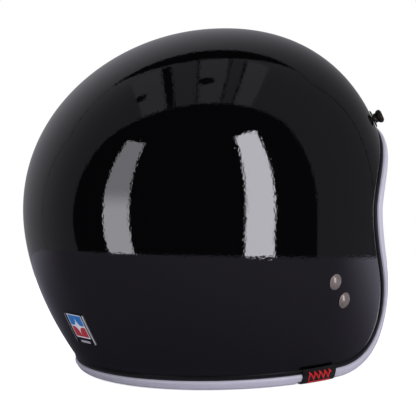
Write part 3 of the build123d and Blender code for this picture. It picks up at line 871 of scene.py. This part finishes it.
cheek_shares = np.concatenate([np.linspace(0.02, 0.95, 44), np.linspace(0.955, 1, 10)])[:, None]
cheek_back = np.stack(cheek_surface(cheek_shares, False), -1)
cheek_front = np.stack(cheek_surface(cheek_shares[::-1], True), -1)
cheek_rows = np.concatenate([cheek_back, cheek_front])
seam_line = np.stack(cheek_surface(np.array([[seam_share]]), True), -1)[0]
section_turn = np.arange(12) * 2 * np.pi / 12
for name, side in (("right", -1), ("left", 1)):
    place = np.stack([side * cheek_rows[..., 2], cheek_rows[..., 0], cheek_rows[..., 1]], -1)
    pad = surface("cheek_cushion_" + name, shell_middle + place, leatherette, sharp=180)
    pad.data.materials.append(knit)
    middles = np.zeros(len(pad.data.polygons), int)
    columns = len(turn_round)
    inner_rows = np.flatnonzero(cheek_shares[::-1, 0] < seam_share)[0] + len(cheek_shares)
    middles[inner_rows * columns : (len(cheek_rows) - 1) * columns] = 1
    middles[-columns:] = 1
    pad.data.polygons.foreach_set("material_index", middles)
    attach(pad, "helmet")
    line = shell_middle + np.stack([side * seam_line[:, 2], seam_line[:, 0], seam_line[:, 1]], -1)
    ahead = unit(np.roll(line, -1, 0) - np.roll(line, 1, 0))
    inward = unit(np.cross(ahead, np.cross(np.array([-side, 0, 0.0]), ahead)))
    beside = np.cross(ahead, inward)
    spoke = np.cos(section_turn)[:, None] * inward[:, None]
    spoke = spoke + np.sin(section_turn)[:, None] * beside[:, None]
    tube = line[:, None] + piping_radius * spoke
    piping = surface("cheek_piping_" + name, tube, leatherette, closed=(True, True), poles=False)
    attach(piping, "helmet")
    rows = np.arange(split + 1, cheek_end)
    rows = rows if side < 0 else -rows[::-1]
    edge = roll("cheek_edge_roll_" + name, rows, cheek_roll_inset, cheek_roll_depth)
    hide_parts("cheek_pad_" + name)

# Chin strap: woven nylon webbing, 25 mm wide, riveted between the shell and the liner.
# The long half is folded back and snapped down; the short half is sewn round two rings.
strap_half_width, strap_wall = 12.5 * mm, 1.8 * mm
strap_y = -20.5 * mm
pivot_x, pivot_z = 87.8425 * mm, 1.4 * mm
# The darker webbing colour is painted shade in the dips of the weave
web_colour, web_painted_shade_colour = "#2C2C30", "#0E0E10"


def webbing_links(tree):
    """Ribs of 1.3 mm yarn across the webbing, dark nylon with painted shade in the weave's dips."""
    _, _, weave, normal = woven(tree, 1.3 * mm, 1.0 * mm, 0.0004)
    share = add(tree, "MapRange", {"From Min": -1.0, "Value": weave})
    # The weave's height picks the colour: painted shade in its dips
    tones = {0: share, 6: linear(web_painted_shade_colour), 7: linear(web_colour)}
    return {"Base Color": add(tree, "Mix", tones, 2, data_type="RGBA"), "Normal": normal}


# Woven nylon webbing: black with a dull shine along its yarns
web_values = {"Roughness": 0.55, "Sheen Weight": 0.25}
webbing = finish("Woven_nylon_webbing", web_values, webbing_links)


def eased(corners, roundings, step):
    """Evenly spaced points of a line with rounded corners, and how far along it each is."""
    line = rounded(corners, roundings, 12)
    run = np.concatenate([[0], np.cumsum(np.linalg.norm(np.diff(line, axis=0), axis=1))])
    stops = np.linspace(0, run[-1], int(run[-1] / step) + 1)
    return np.stack([np.interp(stops, run, line[:, k]) for k in range(line.shape[1])], -1), stops


def strap_sheet(name, line, run, side):
    """Webbing along a line (x, z): its middle sheet, with half the wall added both ways,
    thinner at the woven edges. Above the fold each lane lies on the form, 7.2 mm deep."""
    share = np.linspace(-1, 1, 26)
    lanes = strap_y + strap_half_width * share
    sheet = np.empty((len(line), len(lanes), 3))
    sheet[..., 1] = shell_middle[1] + lanes
    sheet[..., 2] = line[:, 1:]
    root = np.clip((line[:, 1:] - 6 * mm) / (10 * mm), 0, 1)
    root = root * (np.arange(len(line)) < np.argmin(np.abs(run - 0.08)))[:, None]
    lean = side_x(lanes, line[:, 1:] - shell_middle[2], 7.2 * mm)
    lean = lean - side_x(strap_y, line[:, 1:] - shell_middle[2], 7.2 * mm)
    sheet[..., 0] = side * (line[:, :1] + lean * root)
    face = unit(np.cross(np.gradient(sheet, axis=0), np.gradient(sheet, axis=1)))
    wall = strap_wall / 2 * np.clip(1.25 - share**12, 0, 1)[:, None]
    rows = np.concatenate([sheet + face * wall, (sheet - face * wall)[:, ::-1]], 1)
    across = np.concatenate([lanes, lanes[::-1]])
    return surface(name, rows, webbing, u=run, v=across, sharp=60)


root_z = np.linspace(-34.5, -101, 30) * mm
root_line = [(side_x(strap_y, z, 7.2 * mm), z + shell_middle[2]) for z in root_z]
# Line of each half from the rivets down, x outwards from the middle, in millimetres
long_line = [(-4, 1.4), (-4, 7.6), (56, 7.6)]
short_line = [(30.4, 1.4), (30.4, 10.1), (35.6, 10.1), (48.6, 3.3), (74.6, 3.3)]
strap_lines = {"right": long_line, "left": short_line}
strap_roundings = {"right": (2.4, 3.05, 3.05), "left": (2.4, 2.55, 2.55, 2.4, 4.0)}
strap_nodes = {"right": "chin_strap_long", "left": "chin_strap_short"}
for name, side in (("right", -1), ("left", 1)):
    sizes = [0] * (len(root_line) - 1) + [size * mm for size in strap_roundings[name]]
    corners = root_line + [(pivot_x + 0.4 * mm, pivot_z)]
    corners += [(x * mm, z * mm) for x, z in strap_lines[name]]
    line, run = eased(corners, sizes, 0.7 * mm)
    strap = strap_sheet("webbing_" + name, line, run, side)
    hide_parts("strap_root_" + name, strap_nodes[name])
    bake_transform(strap)

# Seams of the strap: a cross in a box through the sewn loop, in thick bonded thread
stitch_length, stitch_gap, thread_radius = 2.6 * mm, 0.9 * mm, 0.32 * mm
thread_colour = "#3C3C42"
# Bonded nylon thread: dark grey, lightly waxed
thread_links = fine_grain(2500.0, 0.4, 0.0001, 0.5, 0.7)
thread = finish("Bonded_nylon_thread", {"Base Color": linear(thread_colour)}, thread_links)


def stitches(name, corners, height, body):
    """A row of lock stitches along a line (x, y): each is a long ball, half sunk at height."""
    corners = np.array(corners) * mm
    starts, aheads = [], []
    for start, end in zip(corners, corners[1:]):
        length = np.linalg.norm(end - start)
        stops = np.arange(0, length - stitch_length, stitch_length + stitch_gap) + stitch_length / 2
        starts.append(start + unit(end - start) * stops[:, None])
        aheads.append(np.repeat(unit(end - start)[None], len(stops), 0))
    spots, ahead = np.vstack(starts), np.vstack(aheads)
    tilt = np.radians(np.linspace(8, 172, 7))
    round_turn = np.arange(8) * 2 * np.pi / 8
    long = np.cos(tilt)[:, None] * stitch_length / 2 + 0 * round_turn
    wide = np.sin(tilt)[:, None] * thread_radius * np.cos(round_turn)
    high = np.sin(tilt)[:, None] * thread_radius * np.sin(round_turn)
    spots, ahead = spots[..., None, None], ahead[..., None, None]
    x = spots[:, 0] + ahead[:, 0] * long - ahead[:, 1] * wide
    y = spots[:, 1] + ahead[:, 1] * long + ahead[:, 0] * wide
    points = np.stack([x, y + strap_y + shell_middle[1], height * mm + high + 0 * x], -1)
    made = surface(name, points, thread)
    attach(made, body)


box_and_cross = [(51, -9.5), (73, -9.5), (73, 9.5), (51, 9.5), (51, -9.5), (73, 9.5)]
box_and_cross += [(51, 9.5), (73, -9.5)]
stitches("loop_seam_above", box_and_cross, 4.25, "strap_left")
stitches("loop_seam_below", box_and_cross, 0.55, "strap_left")
hem = [(-54.5, -10.5), (-54.5, 10.5), (-52.5, 10.5), (-52.5, -10.5)]
stitches("long_end_hem", hem, 8.55, "strap_right")

# Rings and strap snap: the D-rings are bent from steel wire and welded, the snap is pressed
dress(nickel, "d_ring_lower", "d_ring_upper")
dress(black_nickel, "strap_snap_stud")
socket_corners = [(0.02, 9.5), (2.2, 9.55), (3.4, 10.1), (4.6, 9.9), (6.2, 8.8), (6.15, 8.6)]
socket_corners += [(1.6, 8.55), (1.45, 6.4), (6.1, 6.4), (6.15, 3.8), (5.0, 3.55), (3.0, 3.6)]
socket_corners += [(2.95, 5.3), (0.02, 5.5)]
socket_place = (np.array([-46 * mm, strap_y + shell_middle[1], 0.0]), np.array([0.0, 0.0, 1.0]))
socket_rows = lathe(socket_corners, 0.3, [socket_place])
socket = surface("strap_snap_cap", socket_rows, black_nickel, sharp=40)
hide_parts("strap_snap_socket")
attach(socket, "strap_right")

# Table and surroundings: a round white table in a photographer's tent. The camera sees both
# as white. Glossy rays see the tent's grey cloth, its dark front behind the camera, and a
# ceiling of grey panels.
table_radius, table_sides = 0.42, 128
table_middle = np.array([-0.015, -0.045, -0.0004])


def toward(azimuth, elevation):
    """Direction at an azimuth round from the front and an elevation, in degrees."""
    a, e = np.radians([azimuth, elevation])
    return np.array([np.sin(a) * np.cos(e), -np.cos(a) * np.cos(e), np.sin(e)])


def table_links(tree):
    """White to the camera and to soft light. Reflected it is painted grey, shade as on a dim table,
    and painted lighter towards the lit wall, as light from it."""
    path = add(tree, "LightPath").node.outputs
    place = add(tree, "TexCoord", out="Object")
    ways = (place, tuple(toward(50, 0)))
    run = add(tree, "VectorMath", ways, "Value", operation="DOT_PRODUCT")
    ends = {"From Min": -0.08, "From Max": 0.25, "Value": run}
    paler = add(tree, "MapRange", ends, interpolation_type="SMOOTHSTEP")
    # Glossy rays see painted shade in the grey, and painted light on its side towards the wall
    greys = {0: paler, 6: linear("#57555C"), 7: linear("#B4B2BC")}
    grey = add(tree, "Mix", greys, 2, data_type="RGBA")
    tones = {0: path["Is Glossy Ray"], 6: linear("#F4F4F6"), 7: grey}
    colour = add(tree, "Mix", tones, 2, data_type="RGBA")
    lift = add(tree, "Math", (path["Is Camera Ray"], 0.78), operation="MULTIPLY")
    return {"Base Color": colour, "Emission Strength": lift}


# Matt white laminate
laminate = finish(
    "Matt_white_laminate",
    {"Roughness": 0.9, "Specular IOR Level": 0.0, "Emission Color": (1, 1, 1, 1)},
    table_links,
)
table_turn = np.arange(table_sides) * 2 * np.pi / table_sides
table_edge = np.stack([np.cos(table_turn), np.sin(table_turn), 0 * table_turn], -1)
table_edge = table_edge * table_radius + table_middle
table_mesh = bpy.data.meshes.new("table")
table_mesh.from_pydata(table_edge.tolist(), [], [list(range(table_sides))])
table_mesh.materials.append(laminate)
table = bpy.data.objects.new("table", table_mesh)
bpy.context.scene.collection.objects.link(table)

# The tent is the world. Its walls and ceiling are places where a ray from the helmet ends
opening_share, dark_room, soft_level = 0.175, 0.004, 0.44
wall_level, seam_half_width, lamp_radius_squared = 0.06, 0.012, 0.0032
world = bpy.data.worlds.new("Tent")
bpy.context.scene.world = world
world.use_nodes = True
tree = world.node_tree
tree.nodes.clear()
paths = add(tree, "LightPath").node.outputs
ray = add(tree, "TexCoord", out="Generated")


def ray_towards(azimuth, elevation):
    """How far a ray goes in a direction: the dot product of the two."""
    ways = (ray, tuple(toward(azimuth, elevation)))
    return add(tree, "VectorMath", ways, "Value", operation="DOT_PRODUCT")


ahead, aside, height = ray_towards(229.5, 0), ray_towards(319.5, 0), ray_towards(0, 90)
# The tent's front is open to a dark room, so it ends where a ray leaves between its edges
wide = add(tree, "Math", (aside,), operation="ABSOLUTE")
tall = add(tree, "Math", (height,), operation="ABSOLUTE")
edge = add(tree, "Math", (wide, tall), operation="MAXIMUM")
edge = add(tree, "Math", (edge, opening_share), operation="MULTIPLY")
opening = add(tree, "Math", (ahead, edge), operation="GREATER_THAN")
# Cloth walls, with more light behind them on the far side
wall = wall_level
for facing, narrowness, gain in ((ray_towards(88, 2), 5.0, 0.14), (ray_towards(57, 15), 6.0, 0.2)):
    glow = add(tree, "Math", (facing, 0.0), operation="MAXIMUM")
    glow = add(tree, "Math", (glow, narrowness), operation="POWER")
    wall = add(tree, "Math", (glow, gain, wall), operation="MULTIPLY_ADD")
# Frame round the back wall: a thin line at shares of one of its width and height, and a
# dark gap above it that narrows to both sides
back = add(tree, "Math", (ahead, -1.0), operation="MULTIPLY")
back = add(tree, "Math", (back, 0.001), operation="MAXIMUM")
back_x = add(tree, "Math", (aside, back), operation="DIVIDE")
back_z = add(tree, "Math", (height, back), operation="DIVIDE")
share_x = add(tree, "Math", (back_x, 0.633, 0.26), operation="MULTIPLY_ADD")
share_x = add(tree, "Math", (share_x,), operation="ABSOLUTE")
share_z = add(tree, "Math", (back_z, 0.833), operation="MULTIPLY")
share = add(tree, "Math", (share_x, share_z), operation="MAXIMUM")
seam = add(tree, "Math", (share, 1.0, seam_half_width), operation="COMPARE")
narrow = add(tree, "Math", (back_x, back_x), operation="MULTIPLY")
narrow = add(tree, "Math", (narrow, -0.42), operation="MULTIPLY")
half_gap = add(tree, "Math", (narrow, 0.3), operation="ADD")
gap_middle = add(tree, "Math", (half_gap, 1.2), operation="ADD")
gap = add(tree, "Math", (back_z, gap_middle, half_gap), operation="COMPARE")
for line, darker in ((seam, -0.7), (gap, -0.97)):
    left = add(tree, "Math", (line, darker, 1.0), operation="MULTIPLY_ADD")
    wall = add(tree, "Math", (wall, left), operation="MULTIPLY")
# Ceiling panels in columns, with two round dark lamps in them
upward = add(tree, "Math", (height, 0.01), operation="MAXIMUM")
roof_y = add(tree, "Math", (ahead, upward), operation="DIVIDE")
roof_x = add(tree, "Math", (aside, upward), operation="DIVIDE")
roof_x = add(tree, "Math", (roof_y, -0.09, roof_x), operation="MULTIPLY_ADD")
columns = add(tree, "ValToRGB", (add(tree, "Math", (roof_x, 0.5), operation="ADD"),))
ramp = columns.node.color_ramp
ramp.interpolation = "CONSTANT"
panel_stops = [(0.0, 0.11), (0.265, 0.004), (0.33, 0.07), (0.495, 0.01), (0.51, 0.1)]
panel_stops += [(0.695, 0.01), (0.71, 0.065), (0.8, 0.01), (0.82, 0.11)]
ramp.elements.remove(ramp.elements[1])
for share, grey in panel_stops:
    element = ramp.elements.new(share) if share else ramp.elements[0]
    element.color = (grey, grey, grey, 1)
lamp_x = add(tree, "Math", (roof_x, 0.185), operation="ADD")
lamp_x = add(tree, "Math", (lamp_x,), operation="ABSOLUTE")
lamp_x = add(tree, "Math", (lamp_x, 0.245), operation="SUBTRACT")
lamp_y = add(tree, "Math", (roof_y, 0.15), operation="ADD")
lamp_y = add(tree, "Math", (lamp_y, lamp_y), operation="MULTIPLY")
away = add(tree, "Math", (lamp_x, lamp_x, lamp_y), operation="MULTIPLY_ADD")
dim = add(tree, "Math", (away, lamp_radius_squared), operation="LESS_THAN")
left = add(tree, "Math", (dim, -0.95, 1.0), operation="MULTIPLY_ADD")
panel = add(tree, "Math", (columns, left), operation="MULTIPLY")
in_x = add(tree, "Math", (roof_x, 0.018, 0.48), operation="COMPARE")
in_y = add(tree, "Math", (roof_y, -0.2, 0.37), operation="COMPARE")
roof = add(tree, "Math", (in_x, in_y), operation="MULTIPLY")
# Each mix gives the second of two values where its share is one
tent = add(tree, "Mix", {0: roof, 2: wall, 3: panel})
reflected = add(tree, "Mix", {0: opening, 2: tent, 3: dark_room})
unseen = add(tree, "Mix", {0: paths["Is Glossy Ray"], 2: soft_level, 3: reflected})
seen = (paths["Is Camera Ray"], paths["Is Transmission Ray"])
seen = add(tree, "Math", seen, operation="MAXIMUM")
strength = add(tree, "Mix", {0: seen, 2: unseen, 3: 1.0})
tints = {0: seen, 6: (0.985, 0.965, 1.07, 1), 7: (1, 1, 1, 1)}
tint = add(tree, "Mix", tints, 2, data_type="RGBA")
background = add(tree, "Background", {"Color": tint, "Strength": strength})
add(tree, "OutputWorld", {"Surface": background})

# Lamps: two tall strip lights at the helmet's rear and right. Each leans a little in the
# photo's reflections, and the rear one is brighter low down. Fills at the same places and a
# broad weak lamp in front give soft light and no reflection.
strip_colour = (0.97, 0.95, 1.03)
lean_height = 0.2
for name, azimuth, distance, width, low, high, radiance, low_gain, lean, reflects in (
    ("Rear_strip", 187.0, 1.35, 0.43, -0.4, 1.7, 0.82, 1.95, -3.7, True),
    ("Rear_fill", 187.0, 1.35, 0.43, -0.4, 1.7, 1.1, 1.0, -3.7, False),
    ("Right_strip", 272.7, 1.35, 0.39, -0.35, 1.61, 2.7, 1.0, 2.5, True),
    ("Right_fill", 272.7, 1.35, 0.39, -0.35, 1.61, 3.2, 1.0, 2.5, False),
    ("Front_softbox", 15, 1.6, 1.1, -0.1, 1.0, 3.0, 1.0, 0, False),
):
    lamp = bpy.data.lights.new(name, "AREA")
    lamp.shape = "RECTANGLE"
    lamp.size, lamp.size_y = width, high - low
    lamp.energy = radiance * np.pi * width * (high - low)
    lamp.color = strip_colour
    lamp.use_nodes = True
    lamp_tree = lamp.node_tree
    spot = add(lamp_tree, "NewGeometry", out="Parametric")
    level = add(lamp_tree, "SeparateXYZ", (spot,), "Y")
    fade = {"From Min": 0.29, "From Max": 0.47, "To Min": low_gain, "To Max": 1.0}
    gain = add(lamp_tree, "MapRange", fade | {"Value": level}, interpolation_type="SMOOTHSTEP")
    lamp_tree.links.new(gain, lamp_tree.nodes["Emission"].inputs["Strength"])
    lamp_object = bpy.data.objects.new(name, lamp)
    lamp_object.visible_glossy = reflects
    bpy.context.scene.collection.objects.link(lamp_object)
    away, middle = toward(azimuth, 0), (low + high) / 2
    shift = toward(azimuth + 90, 0) * np.tan(np.radians(lean)) * (middle - lean_height)
    lamp_object.location = Vector(away * distance + shift + np.array([0, 0, middle]))
    rolled = Matrix.Rotation(np.radians(-lean), 3, "Z").to_quaternion()
    lamp_object.rotation_euler = (Vector(away).to_track_quat("Z", "Y") @ rolled).to_euler()

# Camera: behind the helmet's right side and a little above its middle, leaning slightly
camera_distance, pixels_per_mm, picture_width, sensor_width = 1700.0, 1.43, 416, 36
camera_azimuth, camera_elevation, camera_lean = 231.017, 7.763, -1.104
camera_drop_pixels = 0.83
camera_away = toward(camera_azimuth, camera_elevation)
level_right = toward(camera_azimuth + 90, 0)
lean = np.radians(camera_lean)
upright = np.cross(camera_away, level_right)
camera_right = level_right * np.cos(lean) + upright * np.sin(lean)
camera_up = upright * np.cos(lean) - level_right * np.sin(lean)
camera = bpy.data.cameras.new("Camera")
camera.sensor_width = sensor_width
camera.lens = sensor_width * pixels_per_mm * camera_distance / picture_width
camera.shift_y = -camera_drop_pixels / picture_width
camera.clip_end = 50
camera_object = bpy.data.objects.new("Camera", camera)
bpy.context.scene.collection.objects.link(camera_object)
turned = Matrix(np.column_stack([camera_right, camera_up, camera_away]).tolist()).to_4x4()
spot = shell_middle + camera_away * camera_distance * mm
camera_object.matrix_world = Matrix.Translation(Vector(spot)) @ turned
bpy.context.scene.camera = camera_object
bpy.context.scene.view_settings.view_transform = "Standard"
